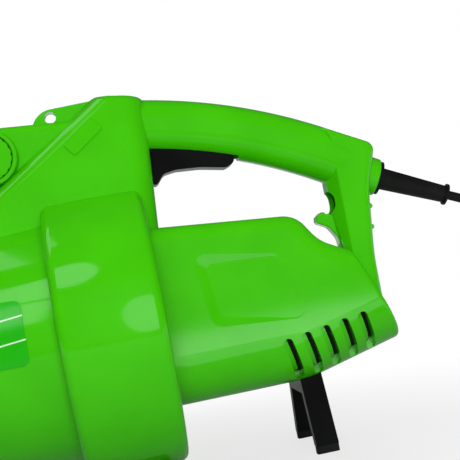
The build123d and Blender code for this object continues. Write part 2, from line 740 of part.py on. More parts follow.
def handle():
    """Both halves of the handle."""
    main_body = handle_core(0)
    fittings = handle_fittings()
    outside = main_body
    for part in fittings:
        outside += part
    shell = outside - handle_core(WALL)
    for boss in screw_bosses(main_body, HANDLE_SCREWS):
        shell += boss
    for rib in switch_ribs() + [clamp_seat(), dial_collar()]:
        shell += rib
    slot_half = TRIGGER_HALF + MOVE_GAP
    cuts = screw_holes(HANDLE_SCREWS) + [
        casing_solid(),
        belt_space(FIT_GAP),
        rod_x(CASING_R, PLATE_FRONT_X - 1, BELT_REAR_X),
        cover_body(0) & cover_tail(0),
        block((SLOT_FRONT_X, SLOT_REAR_X), (-slot_half, slot_half), (84, SWITCH_LOW_Z)),
        rod_y(TRIGGER_PIN_R + PRESS_GAP, -12.6, 12.6, *TRIGGER_PIVOT),
        lug_solid(FIT_GAP),
        rod_y(DIAL_SHAFT_R + MOVE_GAP, -POD_HALF - DIAL_STAND, WALL - POD_HALF + 1, DIAL_X, DIAL_Z),
        along_cord(rod_z(SLEEVE_ROOT_R + PRESS_GAP, -SLEEVE_TAIL - 1, 5, 0)),
        cord_slot(),
    ]
    for cut in cuts:
        shell -= cut
    groove = seam_groove(main_body, handle_core(SEAM_DEPTH))
    for part in fittings:
        groove -= part
    shell -= groove
    return near_half(shell), far_half(shell)


def cord_slot():
    """Opening in the post's front face that the extension lead is looped through."""
    tall = CORD_SLOT_TOP_Z - CORD_SLOT_LOW_Z
    face = Plane(origin=(140, 0, CORD_SLOT_LOW_Z + tall / 2), x_dir=(0, 1, 0), z_dir=(1, 0, 0))
    face *= RectangleRounded(2 * CORD_SLOT_HALF, tall, CORD_SLOT_ROUND)
    return extrude(face, 9, both=True)


# Trigger, switch and dial

def trigger():
    body = side_plate(TRIGGER_OUTLINE, TRIGGER_HALF, {0: 1.6, 2: 6.0, 3: 12.0, 4: 40.0, 5: 4.0, 6: 5.0})
    body -= rod_y(TRIGGER_PIN_R + RUNNING_GAP, -FAR, FAR, *TRIGGER_PIVOT)
    rims = edges_where(body, lambda b: b.max.Y - b.min.Y < 0.1 and abs(b.max.Y) > 9 and b.max.Z < 102)
    return fillet(rims, TRIGGER_ROUND)


def trigger_pin():
    return rod_y(TRIGGER_PIN_R, -12.5, 12.5, *TRIGGER_PIVOT)


def switch_body():
    half = SWITCH_LENGTH / 2
    top = SWITCH_LOW_Z + SWITCH_HEIGHT
    body = block((SWITCH_X - half, SWITCH_X + half), (-SWITCH_HALF, SWITCH_HALF), (SWITCH_LOW_Z, top))
    for x in (SWITCH_X + half - 6, SWITCH_X + half - 1.5):
        body += block((x - 0.4, x + 0.4), (-2.4, 2.4), (top, top + 4))
    return body - rod_z(PLUNGER_R + MOVE_GAP / 4, SWITCH_LOW_Z - 1, top - 1.5, SWITCH_X)


def switch_plunger():
    pin = rod_z(PLUNGER_R, PLUNGER_LOW_Z, PLUNGER_TOP_Z, SWITCH_X)
    return fillet(pin.edges().group_by(Axis.Z)[0], 1.6)


def speed_dial():
    knob_r = dial_well_r() - MOVE_GAP
    back = -POD_HALF - MOVE_GAP
    front = -POD_HALF - DIAL_STAND + DIAL_SINK
    knob = rod_y(knob_r, front, back, DIAL_X, DIAL_Z)
    knob = fillet(edges_where(knob, lambda b: b.max.Y < front + 0.1), 1.2)
    for number in range(DIAL_FLUTES):
        turn = 2 * math.pi * number / DIAL_FLUTES
        x = DIAL_X + (knob_r + 0.5) * math.cos(turn)
        z = DIAL_Z + (knob_r + 0.5) * math.sin(turn)
        knob -= rod_y(1.3, -FAR, FAR, x, z)
    knob += rod_y(DIAL_SHAFT_R, back - 1, -POD_HALF + WALL + 4, DIAL_X, DIAL_Z)
    half, reach = DIAL_POINTER / 2, knob_r - 3
    pointer = block((-half, half), (front - 3, front + 1), (-reach, reach))
    return knob + Pos(DIAL_X, 0, DIAL_Z) * pointer


def potentiometer():
    face = -POD_HALF + WALL
    body = rod_y(POT_R, face, face + POT_DEPTH, DIAL_X, DIAL_Z)
    return body - rod_y(DIAL_SHAFT_R + RUNNING_GAP, -FAR, face + 5, DIAL_X, DIAL_Z)


BOARD_Y = -POD_HALF + WALL + POT_DEPTH


def speed_board():
    return block((-106.0, -60.0), (BOARD_Y, BOARD_Y + 1.6), (108.0, 140.0))


def suppressor():
    body = block((-78.0, -62.0), (BOARD_Y + 1.6, BOARD_Y + 12), (112.0, 130.0))
    return fillet(body.edges().filter_by(Axis.Y), 2.0)


# Motor

def motor_shaft():
    return rod_x(SHAFT_R, SHAFT_FRONT_X, SHAFT_REAR_X)


def armature_core():
    core = ring_x(ARMATURE_R, SHAFT_R + PRESS_GAP, CORE_FRONT_X, CORE_REAR_X)
    for number in range(12):
        slot = block((CORE_FRONT_X - 1, CORE_REAR_X + 1), (-1.2, 1.2), (ARMATURE_R - 6, ARMATURE_R + 1))
        core -= Rot(30 * number, 0, 0) * slot
    return core


def armature_coils():
    rings = [
        ring_x(ARMATURE_R - 3, SHAFT_R + 2, CORE_FRONT_X - COIL_LENGTH, CORE_FRONT_X),
        ring_x(ARMATURE_R - 3, SHAFT_R + 2, CORE_REAR_X, CORE_REAR_X + COIL_LENGTH)]
    return Compound(children=rings)


def commutator():
    return ring_x(COMMUTATOR_R, SHAFT_R + PRESS_GAP, COMMUTATOR_FRONT_X, COMMUTATOR_REAR_X)


def field_core():
    core = ring_x(STATOR_R, STATOR_BORE_R, CORE_FRONT_X, CORE_REAR_X)
    for side in (-1, 1):
        core -= block((-FAR, FAR), (side * 31 - 5, side * 31 + 5), (-12.0, 12.0))
    return core


def field_coils():
    """Two windings, each round one pole, seen as rings at both ends of the core."""
    ring = ring_x(STATOR_R - 2, STATOR_BORE_R + 2, CORE_FRONT_X - COIL_LENGTH, CORE_FRONT_X)
    ring += ring_x(STATOR_R - 2, STATOR_BORE_R + 2, CORE_REAR_X, CORE_REAR_X + COIL_LENGTH)
    for side in (-1, 1):
        span = (side * 31 - 4.6, side * 31 + 4.6)
        ring += block((CORE_FRONT_X - 3, CORE_REAR_X + 3), span, (-11.5, 11.5))
    gap = block((-FAR, FAR), (-FAR, FAR), (-0.6, 0.6))
    return ring - gap


def bearing(x):
    outer = ring_x(BEARING_R, SHAFT_R + RUNNING_GAP, x, x + BEARING_WIDTH)
    groove = ring_x(BEARING_R - 2, SHAFT_R + 2, x - 1, x + 0.8)
    return outer - groove - Pos(BEARING_WIDTH + 0.2, 0, 0) * groove


def motor_cradle():
    """Cup round the field core, with arms to the front bearing and a rim on the back plate."""
    out_r = STATOR_R + FIT_GAP + CRADLE_WALL
    cup = ring_x(out_r, STATOR_R + FIT_GAP, BELT_REAR_X, CRADLE_REAR_X)
    cup += ring_x(CRADLE_RIM_R, STATOR_R + FIT_GAP, BELT_REAR_X, BELT_REAR_X + 4)
    for number in range(4):
        cup -= Rot(90 * number + 45, 0, 0) * block((10.0, 26.0), (-15.0, 15.0), (20.0, 47.0))
    hub_end = FRONT_BEARING_X + BEARING_WIDTH
    for number in range(4):
        arm = block((BELT_REAR_X, BELT_REAR_X + 6), (-4.0, 4.0), (12.0, out_r - 1))
        cup += Rot(90 * number, 0, 0) * arm
    cup += ring_x(BEARING_R + 3, SHAFT_R + 2, BELT_REAR_X, hub_end)
    cup -= rod_x(BEARING_R + PRESS_GAP, FRONT_BEARING_X, FAR) & rod_x(BEARING_R + PRESS_GAP, 0, hub_end + 1)
    for side in (-1, 1):
        span = sorted((side * (out_r - 1), side * EAR_HIGH_Y))
        cup += block((CRADLE_REAR_X - EAR_LENGTH, CRADLE_REAR_X), span, (-EAR_HALF_Z, EAR_HALF_Z))
    for cut in motor_screw_holes():
        cup -= cut
    return cup - rod_x(STATOR_R + FIT_GAP, CORE_FRONT_X - COIL_LENGTH - 4, FAR)


SCREW_Y = (EAR_LOW_Y + EAR_HIGH_Y) / 2


def motor_screw_holes():
    return [rod_x(1.5 + PRESS_GAP, CRADLE_REAR_X - 16, FAR, y=side * SCREW_Y) for side in (-1, 1)]


def motor_screws():
    """Two long screws that hold the rear bracket to the cradle."""
    end = BRACKET_X + BRACKET_THICK
    parts = []
    for side in (-1, 1):
        pin = rod_x(1.5, CRADLE_REAR_X - 15, end, y=side * SCREW_Y)
        head = rod_x(2.6, end, end + 2, y=side * SCREW_Y)
        parts.append(pin + head)
    return Compound(children=parts)


def rear_bracket():
    """Bridge behind the commutator: rear bearing seat, arms to the cradle, bar for the brush holders."""
    end = BRACKET_X + BRACKET_THICK
    body = block((BRACKET_X, end), (-EAR_HIGH_Y, EAR_HIGH_Y), (-EAR_HALF_Z, EAR_HALF_Z))
    body += block((BRACKET_X, end), (-7.0, 7.0), (-HOLDER_OUT_Z, HOLDER_OUT_Z))
    body += rod_x(BEARING_R + 3, BRACKET_X, REAR_BEARING_X + BEARING_WIDTH)
    for side in (-1, 1):
        span = sorted((side * EAR_LOW_Y, side * EAR_HIGH_Y))
        body += block((CRADLE_REAR_X, end), span, (-EAR_HALF_Z, EAR_HALF_Z))
    body -= rod_x(BEARING_R + PRESS_GAP, REAR_BEARING_X, FAR)
    body -= rod_x(SHAFT_R + 2, BRACKET_X - 1, FAR)
    for cut in motor_screw_holes():
        body -= cut
    return body


def brush_holders():
    """Two tubes that guide the brushes on to the commutator."""
    holders = []
    for side in (-1, 1):
        span = sorted((side * (COMMUTATOR_R + 1.5), side * HOLDER_OUT_Z))
        tube = block((COMMUTATOR_FRONT_X + 1, BRACKET_X), (-HOLDER_HALF, HOLDER_HALF), span)
        mouth = sorted((side * COMMUTATOR_R, side * (HOLDER_OUT_Z - 1.5)))
        wide = BRUSH_HALF + FIT_GAP
        ends = (COMMUTATOR_FRONT_X + 3 - FIT_GAP, COMMUTATOR_REAR_X - 3 + FIT_GAP)
        holders.append(tube - block(ends, (-wide, wide), mouth))
    return Compound(children=holders)


def carbon_brushes():
    brushes = []
    for side in (-1, 1):
        span = sorted((side * (COMMUTATOR_R - 1), side * (HOLDER_OUT_Z - 1.5)))
        brush = block((COMMUTATOR_FRONT_X + 3, COMMUTATOR_REAR_X - 3), (-BRUSH_HALF, BRUSH_HALF), span)
        brushes.append(brush - rod_x(COMMUTATOR_R + RUNNING_GAP, -FAR, FAR))
    return Compound(children=brushes)


# Impeller and straightener

def impeller():
    wheel = rod_x(IMPELLER_R, IMPELLER_DISC_X, IMPELLER_DISC_X + IMPELLER_DISC_THICK)
    wheel += rod_x(HUB_R, IMPELLER_DISC_X, IMPELLER_REAR_X)
    band = ring_x(IMPELLER_R - 0.6, BLADE_IN_R, IMPELLER_DISC_X + 1, IMPELLER_REAR_X)
    curve_r, half = 50.0, BLADE_THICK / 2
    blade = ring_x(curve_r + half, curve_r - half, IMPELLER_DISC_X + 1, IMPELLER_REAR_X)
    blade = (Pos(0, 60.0, 0) * blade) & band & block((-FAR, FAR), (-FAR, FAR), (0, FAR))
    for number in range(BLADE_COUNT):
        wheel += Rot(360.0 / BLADE_COUNT * number, 0, 0) * blade
    return wheel - rod_x(SHAFT_R + PRESS_GAP, -FAR, FAR)


def impeller_nut():
    nut = Rot(0, 90, 0) * extrude(RegularPolygon(NUT_R, 6), NUT_THICK)
    return Pos(IMPELLER_DISC_X - NUT_THICK, 0, 0) * nut - rod_x(SHAFT_R + PRESS_GAP, -FAR, FAR)


def shaft_spacer():
    """Sleeve on the shaft between the front bearing and the impeller."""
    return ring_x(SHAFT_R + 1.8, SHAFT_R + PRESS_GAP, IMPELLER_REAR_X, FRONT_BEARING_X - 0.5)


def straightener_hub(inset):
    line = [
        (STRAIGHTENER_BACK_X, 0), (STRAIGHTENER_BACK_X, STRAIGHTENER_R - inset),
        (STRAIGHTENER_BACK_X - 25, STRAIGHTENER_R - inset), (STRAIGHTENER_NOSE_X + 2 * inset, 10 - inset),
        (STRAIGHTENER_NOSE_X + 2 * inset, 0)]
    return spun(line, {2: 40.0})


def flow_straightener():
    hub = straightener_hub(0)
    for number in range(VANE_COUNT):
        half = VANE_THICK / 2
        vane = block((-140.0, STRAIGHTENER_BACK_X - 4), (-half, half), (STRAIGHTENER_R / 3, FAR))
        hub += Rot(360.0 / VANE_COUNT * number, 0, 0) * (vane & duct_solid(WALL))
    return hub - straightener_hub(WALL) - rod_x(STRAIGHTENER_R - WALL, STRAIGHTENER_BACK_X - 1, FAR)


# Blow tube and nozzle

def blow_tube():
    bore_r = SOCKET_R + TUBE_GAP
    wall = TUBE_WALL
    back_x = SOCKET_BACK_X - TUBE_GAP
    line = [
        (back_x, bore_r), (back_x, bore_r + wall), (SOCKET_FRONT_X - 4, bore_r + wall),
        (TUBE_TAPER_END_X, TUBE_FRONT_R), (TUBE_FRONT_X, TUBE_FRONT_R), (TUBE_FRONT_X, TUBE_FRONT_R - wall),
        (TUBE_TAPER_END_X, TUBE_FRONT_R - wall), (SOCKET_FRONT_X - 4, bore_r)]
    return spun(line)


def nozzle_loft(inset, round_r):
    front_x = TUBE_FRONT_X - NOZZLE_LENGTH + NOZZLE_LAP
    tall = 2 * (NOZZLE_MOUTH_RISE - inset)
    sections = []
    for share, half, high in ((0.0, round_r, 2 * round_r), (1.0, NOZZLE_MOUTH_HALF - inset, tall)):
        x = TUBE_FRONT_X + share * (front_x - TUBE_FRONT_X)
        plane = Plane(origin=(x, 0, 0), x_dir=(0, 1, 0), z_dir=(1, 0, 0))
        radius = round_r - 0.2 if share == 0 else NOZZLE_MOUTH_RISE - inset - 3
        sections.append(plane * RectangleRounded(2 * half, high, radius))
    return loft(sections)


def nozzle():
    sleeve_r = TUBE_FRONT_R + FIT_GAP
    lap_x = TUBE_FRONT_X + NOZZLE_LAP
    body = nozzle_loft(0, sleeve_r + TUBE_WALL) + rod_x(sleeve_r + TUBE_WALL, TUBE_FRONT_X, lap_x)
    body -= nozzle_loft(TUBE_WALL, TUBE_FRONT_R - TUBE_WALL)
    return body - rod_x(sleeve_r, TUBE_FRONT_X, lap_x + 1)


# Label and badge

def label_plate():
    skin = duct_solid(-LABEL_THICK - PRESS_GAP) - duct_solid(-PRESS_GAP)
    wide, tall = LABEL_X[1] - LABEL_X[0], LABEL_Z[1] - LABEL_Z[0]
    plane = Plane(origin=(sum(LABEL_X) / 2, 0, sum(LABEL_Z) / 2), x_dir=(1, 0, 0), z_dir=(0, -1, 0))
    return skin & extrude(plane * RectangleRounded(wide, tall, LABEL_ROUND), FAR)


def badge_left():
    lean = math.atan2(NECK_FOOT_HALF - NECK_TOP_HALF, NECK_TOP_Z - NECK_FOOT_Z)
    x, z = BADGE_CENTRE
    y = -NECK_TOP_HALF - (NECK_TOP_Z - z) * math.tan(lean)
    turn = math.radians(BADGE_TURN)
    normal = Vector(0, -math.cos(lean), math.sin(lean))
    along = Vector(math.cos(turn), math.sin(turn) * math.sin(lean), math.sin(turn) * math.cos(lean))
    plane = Plane(origin=(x, y, z), x_dir=along, z_dir=normal)
    face = plane.offset(-WALL / 2) * RectangleRounded(BADGE_LENGTH, BADGE_WIDTH, BADGE_ROUND)
    pad = extrude(face, WALL / 2 + BADGE_THICK)
    pad = chamfer(pad.faces().sort_by(Axis.Y)[0].edges(), BADGE_EDGE)
    return pad - neck_solid(0)


# Intake grille, stand and feet

def intake_grille():
    skin = cover_outside() - cover_outside(WALL)
    panel = skin & grille_window()
    pitch = (GRILLE_X[1] - GRILLE_X[0] - 2 * GRILLE_RIM) / GRILLE_SLOTS
    for number in range(GRILLE_SLOTS):
        x = GRILLE_X[0] + GRILLE_RIM + pitch * (number + 0.5)
        for side in (-1, 1):
            span = sorted((side * 2.0, side * (GRILLE_HALF - GRILLE_RIM)))
            panel -= block((x - GRILLE_SLOT / 2, x + GRILLE_SLOT / 2), span, (-FAR, 0))
    return panel


def stand_holes():
    x = sum(STAND_X) / 2
    return [rod_z(SCREW_R + PRESS_GAP, -FAR, -30, x, side * STAND_SCREW_Y) for side in (-1, 1)]


def rear_stand():
    """Bow under the cover that keeps the intake off the ground."""
    low = -GROUND_DROP + FOOT_THICK
    top, bar = STAND_TOP_Z, STAND_BAR
    outer = [(-STAND_FOOT_HALF, low), (-STAND_TOP_HALF, top), (STAND_TOP_HALF, top), (STAND_FOOT_HALF, low)]
    lean = (STAND_FOOT_HALF - STAND_TOP_HALF) / (top - low)
    roof = top - 14.0
    foot_in = STAND_FOOT_HALF - bar
    roof_in = foot_in - lean * (roof - low)
    inner = [(-foot_in, low), (-roof_in, roof), (roof_in, roof), (foot_in, low)]
    plane = Plane(origin=(STAND_X[0], 0, 0), x_dir=(0, 1, 0), z_dir=(1, 0, 0))
    face = make_face(Polyline(*outer, close=True)) - make_face(Polyline(*inner, close=True))
    bow = extrude(plane * face, STAND_X[1] - STAND_X[0])
    bow -= cover_body(0)
    for hole in stand_holes():
        bow -= hole
    x = sum(STAND_X) / 2
    for side in (-1, 1):
        bow -= rod_z(SCREW_HEAD_R + FIT_GAP, -FAR, roof + 3, x, side * STAND_SCREW_Y)
    return bow


def stand_screws():
    seat = STAND_TOP_Z - 14.0 + 3
    x = sum(STAND_X) / 2
    one = Rot(180, 0, 0) * screw(14.0)
    return Compound(children=[Pos(x, side * STAND_SCREW_Y, seat) * one for side in (-1, 1)])


def rear_feet():
    pads = []
    for side in (-1, 1):
        y = side * (STAND_FOOT_HALF - STAND_BAR / 2)
        span = (y - STAND_BAR / 2, y + STAND_BAR / 2)
        pad = block(STAND_X, span, (-GROUND_DROP, -GROUND_DROP + FOOT_THICK))
        pads.append(fillet(pad.edges().filter_by(Axis.Z), 2.0))
    return Compound(children=pads)


def front_foot():
    foot = block(FRONT_FOOT_X, (-FRONT_FOOT_HALF, FRONT_FOOT_HALF), (-GROUND_DROP, -CASING_R))
    foot = fillet(foot.edges().filter_by(Axis.Z), FRONT_FOOT_ROUND)
    return foot - belt_wheel(0)


# Cord, strain relief and plug

def strain_relief():
    sleeve = Pos(0, 0, SLEEVE_LENGTH / 2) * Cone(SLEEVE_ROOT_R, SLEEVE_TIP_R, SLEEVE_LENGTH)
    sleeve += rod_z(FLANGE_R, 0, FLANGE_THICK, 0)
    sleeve += rod_z(SLEEVE_RING_R, SLEEVE_LENGTH - SLEEVE_RING_THICK, SLEEVE_LENGTH, 0)
    sleeve += rod_z(SLEEVE_ROOT_R, -SLEEVE_TAIL, 0, 0)
    return along_cord(sleeve - rod_z(CORD_R + PRESS_GAP, -FAR, FAR, 0))


def cord_axis(distance):
    """A point on the outlet's axis."""
    turn = math.radians(CORD_ANGLE)
    return (CORD_EXIT[0] + distance * math.cos(turn), 0.0, CORD_EXIT[1] - distance * math.sin(turn))


def joined_runs(points):
    """Straight runs joined by arcs, each arc taking most of the shorter run beside it."""
    lines = []
    here = points[0]
    for before, corner, after in zip(points, points[1:], points[2:]):
        into, out = corner - before, after - corner
        reach = 0.45 * min(into.length, out.length)
        half_turn = math.radians(into.get_angle(out)) / 2
        radius = reach / math.tan(half_turn)
        start = corner - into.normalized() * reach
        end = corner + out.normalized() * reach
        inward = (out.normalized() - into.normalized()).normalized()
        middle = corner + inward * radius * (1 / math.cos(half_turn) - 1)
        lines.append(Line(here, start))
        lines.append(ThreePointArc(start, middle, end))
        here = end
    lines.append(Line(here, points[-1]))
    return lines


def tube_along(points, radius):
    """A round tube along joined runs."""
    path = Wire([line.edge() for line in joined_runs(points)])
    start = Plane(origin=path @ 0, z_dir=path % 0)
    return sweep(start * Circle(radius), path)


def power_cord():
    points = [Vector(*cord_axis(-CORD_INSIDE)), Vector(*cord_axis(CORD_FREE))]
    points += [Vector(*p) for p in CORD_POINTS] + [Vector(*PLUG_END)]
    return tube_along(points, CORD_R)


def inner_leads():
    """Supply leads along the grip to the switch, and on down the neck to the motor."""
    leads = []
    for run in (SUPPLY_LEAD, MOTOR_LEAD):
        for y in (-LEAD_SPREAD, LEAD_SPREAD):
            leads.append(tube_along([Vector(x, y, z) for x, z in run], LEAD_R))
    return Compound(children=leads)


def along_plug(shape):
    """Move a shape drawn along +Z from the origin on to the end of the cord."""
    end, before = Vector(*PLUG_END), Vector(*CORD_POINTS[-1])
    return Plane(origin=end, x_dir=(0, 0, 1), z_dir=end - before).location * shape


def plug_body():
    """Moulded round plug, with a neck that the cord enters."""
    body = rod_z(PLUG_R, PLUG_LENGTH * 0.45, PLUG_LENGTH, 0)
    body += Pos(0, 0, PLUG_LENGTH * 0.3) * Cone(PLUG_NECK_R, PLUG_R, PLUG_LENGTH * 0.3)
    body += rod_z(PLUG_NECK_R, -2, PLUG_LENGTH * 0.16, 0)
    body = fillet(body.edges().group_by(Axis.Z)[-1], 2.0)
    body -= rod_z(CORD_R + PRESS_GAP, -5, 0, 0)
    for side in (-1, 1):
        body -= rod_z(PIN_R + PRESS_GAP, PLUG_LENGTH - 8, PLUG_LENGTH + 1, 0, side * PIN_SPREAD)
    return along_plug(body)


def plug_pins():
    pins = []
    for side in (-1, 1):
        pin = rod_z(PIN_R, PLUG_LENGTH - 8, PLUG_LENGTH + PIN_LENGTH, 0, side * PIN_SPREAD)
        pins.append(fillet(pin.edges().group_by(Axis.Z)[-1], 1.6))
    return Compound(children=[along_plug(pin) for pin in pins])


def cord_clamp():
    bar = block((0.6, 6.0), (-11.0, 11.0), (-30.0, -23.0)) - rod_z(CORD_R + PRESS_GAP, -FAR, FAR, 0)
    for y in (-7.5, 7.5):
        bar -= Pos(0, y, -26.5) * Rot(0, 90, 0) * Cylinder(SCREW_R + FIT_GAP, 60)
    return along_cord(bar)


def clamp_screws():
    one = screw(12.0)
    parts = [along_cord(Pos(6.0, y, -26.5) * Rot(0, 90, 0) * one) for y in (-7.5, 7.5)]
    return Compound(children=parts)


CORD_NODES = ("power_cord", "plug_body", "plug_pins")


def build():
    """Every node's shape, in the motor's frame."""
    cover_left, cover_right = motor_cover()
    handle_left, handle_right = handle()
    return {
        "handle_left": handle_left,
        "handle_right": handle_right,
        "strap_lug": strap_lug(),
        "motor_cover_left": cover_left,
        "motor_cover_right": cover_right,
        "vent_filters": vent_filters(),
        "belt_cover": belt_cover(),
        "fan_casing": fan_casing(),
        "casing_back_plate": casing_back_plate(),
        "flow_straightener": flow_straightener(),
        "label_plate": label_plate(),
        "badge_left": badge_left(),
        "blow_tube": blow_tube(),
        "nozzle": nozzle(),
        "intake_grille": intake_grille(),
        "rear_stand": rear_stand(),
        "stand_screws": stand_screws(),
        "front_foot": front_foot(),
        "rear_feet": rear_feet(),
        "motor_cradle": motor_cradle(),
        "field_core": field_core(),
        "field_coils": field_coils(),
        "rear_bracket": rear_bracket(),
        "motor_screws": motor_screws(),
        "front_bearing": bearing(FRONT_BEARING_X),
        "rear_bearing": bearing(REAR_BEARING_X),
        "brush_holders": brush_holders(),
        "carbon_brushes": carbon_brushes(),
        "motor_shaft": motor_shaft(),
        "armature_core": armature_core(),
        "armature_coils": armature_coils(),
        "commutator": commutator(),
        "impeller": impeller(),
        "impeller_nut": impeller_nut(),
        "shaft_spacer": shaft_spacer(),
        "trigger": trigger(),
        "trigger_pin": trigger_pin(),
        "switch_body": switch_body(),
        "switch_plunger": switch_plunger(),
        "speed_dial": speed_dial(),
        "potentiometer": potentiometer(),
        "speed_board": speed_board(),
        "suppressor": suppressor(),
        "strain_relief": strain_relief(),
        "cord_clamp": cord_clamp(),
        "clamp_screws": clamp_screws(),
        "inner_leads": inner_leads(),
        "power_cord": power_cord(),
        "plug_body": plug_body(),
        "plug_pins": plug_pins(),
        "handle_screws": Compound(children=side_screws(HANDLE_SCREWS)),
        "cover_screws": Compound(children=side_screws(COVER_SCREWS)),
    }


def main():
    os.makedirs("parts", exist_ok=True)
    pieces = build()
    boxes = [shape.bounding_box() for name, shape in pieces.items() if name not in CORD_NODES]
    middle = (min(b.min.X for b in boxes) + max(b.max.X for b in boxes)) / 2
    print("shift", -middle, 0.0, GROUND_DROP)
    for name, shape in pieces.items():
        print(name, len(shape.solids()), round(shape.volume), shape.is_valid)
        export_step(Pos(-middle, 0, GROUND_DROP) * shape, f"parts/{name}.step")


main()
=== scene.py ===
# %% [markdown]
# # A corded leaf blower in a small studio
# The solids of this machine come from CAD, so Blender's part is the finish: glossy moulded
# plastic, satin black controls, rubber, steel and copper, a supply lead that bends like one,
# and the light of a product photograph. Everything is in metres, with Z up.

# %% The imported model
import json
import math

import bpy
import numpy as np
from mathutils import Matrix, Vector

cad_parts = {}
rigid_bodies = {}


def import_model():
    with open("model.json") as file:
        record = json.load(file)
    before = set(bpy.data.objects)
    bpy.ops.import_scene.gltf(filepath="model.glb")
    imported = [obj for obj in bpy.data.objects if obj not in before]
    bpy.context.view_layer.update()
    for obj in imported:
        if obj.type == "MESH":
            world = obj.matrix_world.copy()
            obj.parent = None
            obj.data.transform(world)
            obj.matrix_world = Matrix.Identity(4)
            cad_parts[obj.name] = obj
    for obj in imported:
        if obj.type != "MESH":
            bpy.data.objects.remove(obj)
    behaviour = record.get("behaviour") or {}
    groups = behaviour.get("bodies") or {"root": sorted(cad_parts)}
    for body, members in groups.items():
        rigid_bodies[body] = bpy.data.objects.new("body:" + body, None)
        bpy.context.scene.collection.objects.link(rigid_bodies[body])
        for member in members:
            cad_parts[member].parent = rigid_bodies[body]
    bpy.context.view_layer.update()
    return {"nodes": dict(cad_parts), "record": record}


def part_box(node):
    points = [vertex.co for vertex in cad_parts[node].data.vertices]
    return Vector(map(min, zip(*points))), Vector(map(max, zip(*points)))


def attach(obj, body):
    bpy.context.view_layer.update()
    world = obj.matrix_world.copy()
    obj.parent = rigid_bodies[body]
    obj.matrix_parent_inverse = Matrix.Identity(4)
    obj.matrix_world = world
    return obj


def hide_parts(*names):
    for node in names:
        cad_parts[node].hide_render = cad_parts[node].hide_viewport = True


for leftover in list(bpy.data.objects):
    bpy.data.objects.remove(leftover)
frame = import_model()
nodes = frame["nodes"]

# %% [markdown]
# ## Where the motor axis lies
# All the places below are written from one point: on the motor's axis, level with the fan.
# The belt round the fan ends 6 mm behind that point, so its box says where the point is.

# %% A ruler from the motor axis
MM = 0.001
BELT_END = 6.0
AXIS_HEIGHT = 105.0
axis_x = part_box("belt_cover")[1].x - BELT_END * MM


def at(x, y, z):
    """Millimetres from the motor axis's point, as metres in the model's frame."""
    return Vector((axis_x + x * MM, y * MM, (AXIS_HEIGHT + z) * MM))


print("motor axis point:", [round(v, 4) for v in at(0, 0, 0)])

# %% [markdown]
# ## The camera
# The picture was taken level with the motor from three quarters of a metre away, and turned by
# eleven degrees afterwards. A camera is a place and three axes, so they are written down as a
# matrix: one column for its right, one for its up, one pointing back from what it looks at.

# %% Camera
EYE = at(-14.4, -750.0, 17.8)
AIM = at(63.7, 0.0, 52.5)
ROLL = math.radians(11.0)
LENS = 84.4

back = (EYE - AIM).normalized()
rolled_up = Vector((math.sin(ROLL), 0.0, math.cos(ROLL)))
right = rolled_up.cross(back).normalized()
up = back.cross(right)
eye = bpy.data.objects.new("camera", bpy.data.cameras.new("camera"))
eye.data.lens = LENS
eye.data.sensor_width = 36.0
eye.data.clip_start = 0.01
eye.data.clip_end = 100.0
turn = Matrix((right, up, back)).transposed().to_4x4()
eye.matrix_world = Matrix.Translation(EYE) @ turn
bpy.context.scene.collection.objects.link(eye)
bpy.context.scene.camera = eye
print("camera at", [round(v, 3) for v in EYE])

# %% [markdown]
# ## Shader maths as expressions
# Node trees are easier to read as sums. `Flow` holds one socket and the tree it belongs to, so
# that `0.2 + 0.1 * grain` adds the Math nodes by itself, and `make` adds any other node.


# %% A small language for node trees
class Flow:
    """One output socket of a node tree; sums and products of it add Math nodes."""

    def __init__(self, tree, socket):
        self.tree = tree
        self.socket = socket

    def make(self, kind, settings=(), out=0, **values):
        """Add a node: settings are its own properties, values go to the sockets of that name."""
        return add_node(self.tree, kind, settings, out, **values)

    def math(self, operation, *others):
        node = self.tree.nodes.new("ShaderNodeMath")
        node.operation = operation
        for number, value in enumerate((self, *others)):
            feed(self.tree, node.inputs[number], value)
        return Flow(self.tree, node.outputs[0])

    def __add__(self, other):
        return self.math("ADD", other)

    __radd__ = __add__

    def __mul__(self, other):
        return self.math("MULTIPLY", other)

    __rmul__ = __mul__

    def __sub__(self, other):
        return self.math("SUBTRACT", other)

    def __rsub__(self, other):
        return (self * -1.0) + other

    def either(self, other):
        """The larger of two masks."""
        return self.math("MAXIMUM", other)

    def between(self, low, high):
        """0 below low, 1 above high, and a smooth rise between them."""
        smooth = {"interpolation_type": "SMOOTHSTEP"}
        return self.make("ShaderNodeMapRange", smooth, Value=self, From_Min=low, From_Max=high)

    def waves(self, pitch):
        """A sine of a length: once up and down in each pitch, from 0 to 1."""
        return (self * (2.0 * math.pi / pitch)).math("SINE") * 0.5 + 0.5

    def tint(self, dark, light):
        """A colour from dark at 0 to light at 1; dark may itself be a colour that varies."""
        first = dark if isinstance(dark, Flow) else (*dark, 1.0)
        return self.make("ShaderNodeMix", {"data_type": "RGBA"}, 2, n0=self, n6=first, n7=(*light, 1.0))


def feed(tree, socket, value):
    """Link a Flow to a socket, or set the socket to a plain value."""
    if isinstance(value, Flow):
        tree.links.new(value.socket, socket)
    else:
        socket.default_value = value


def add_node(tree, kind, settings=(), out=0, **values):
    """A node with its settings made first, then its sockets, by name or by number as n0, n1 and so on."""
    node = tree.nodes.new(kind)
    for key, value in dict(settings).items():
        setattr(node, key, value)
    for key, value in values.items():
        number = key[1:] if key[0] == "n" and key[1:].isdigit() else None
        socket = node.inputs[int(number)] if number else node.inputs[key.replace("_", " ")]
        feed(tree, socket, value)
    return Flow(tree, node.outputs[out])


# %% [markdown]
# ## A finish
# Each finish is one Principled shader. What is the same all over is set on the shader's own
# sockets; what changes from place to place, such as cloudiness of colour or fine waves in a
# gloss, comes from noise on Object coordinates, so it stays with the piece.


